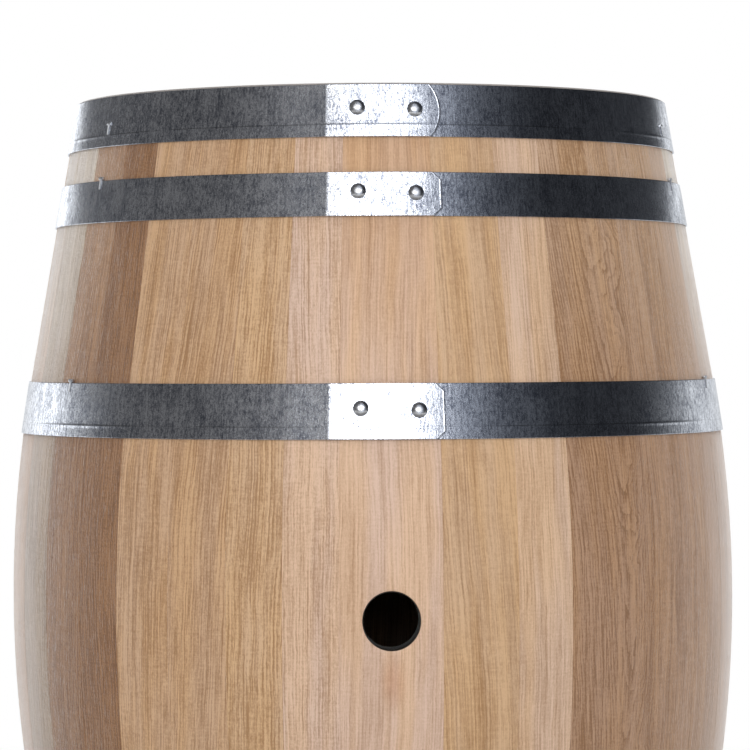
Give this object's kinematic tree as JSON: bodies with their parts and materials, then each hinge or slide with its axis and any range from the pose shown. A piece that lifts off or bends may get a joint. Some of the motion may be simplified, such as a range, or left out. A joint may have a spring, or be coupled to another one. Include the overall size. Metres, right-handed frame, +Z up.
{
  "type": "oak cask",
  "caption": "Upright coopered oak cask with bent staves, a flat boarded head at each end, riveted galvanised hoops and an open round bung hole at mid height.",
  "frame": {"origin": "middle of the ring of stave ends that the cask stands on", "axes": "+Z up along the cask; -Y out of the bung hole; +X to the right as seen facing the bung hole"},
  "size_m": [0.7, 0.6996, 0.95],
  "materials": {
    "stave_oak": "planed, unfinished",
    "head_oak": "planed, unfinished",
    "dowel_wood": "plain",
    "hoop_steel": "galvanised",
    "rivet_steel": "galvanised, domed",
    "nail_steel": "dull zinc"
  },
  "bodies": {
    "root": {"bung_stave": "stave_oak", "stave_02": "stave_oak", "stave_03": "stave_oak", "stave_04": "stave_oak", "stave_05": "stave_oak", "stave_06": "stave_oak", "stave_07": "stave_oak", "stave_08": "stave_oak", "stave_09": "stave_oak", "stave_10": "stave_oak", "stave_11": "stave_oak", "stave_12": "stave_oak", "stave_13": "stave_oak", "stave_14": "stave_oak", "stave_15": "stave_oak", "stave_16": "stave_oak", "stave_17": "stave_oak", "stave_18": "stave_oak", "stave_19": "stave_oak", "stave_20": "stave_oak", "stave_21": "stave_oak", "stave_22": "stave_oak", "stave_23": "stave_oak", "stave_24": "stave_oak", "stave_25": "stave_oak", "stave_26": "stave_oak", "stave_27": "stave_oak", "stave_28": "stave_oak", "stave_29": "stave_oak", "stave_30": "stave_oak", "stave_31": "stave_oak", "stave_32": "stave_oak", "top_head_hoop": "hoop_steel", "top_quarter_hoop": "hoop_steel", "top_bilge_hoop": "hoop_steel", "bottom_head_hoop": "hoop_steel", "bottom_quarter_hoop": "hoop_steel", "bottom_bilge_hoop": "hoop_steel", "hoop_rivets": "rivet_steel", "hoop_nails": "nail_steel", "top_head_board_1": "head_oak", "top_head_board_2": "head_oak", "top_head_board_3": "head_oak", "top_head_board_4": "head_oak", "top_head_board_5": "head_oak", "top_head_board_6": "head_oak", "top_head_board_7": "head_oak", "bottom_head_board_1": "head_oak", "bottom_head_board_2": "head_oak", "bottom_head_board_3": "head_oak", "bottom_head_board_4": "head_oak", "bottom_head_board_5": "head_oak", "bottom_head_board_6": "head_oak", "bottom_head_board_7": "head_oak", "top_head_dowels": "dowel_wood", "bottom_head_dowels": "dowel_wood"}
  },
  "joints": []
}
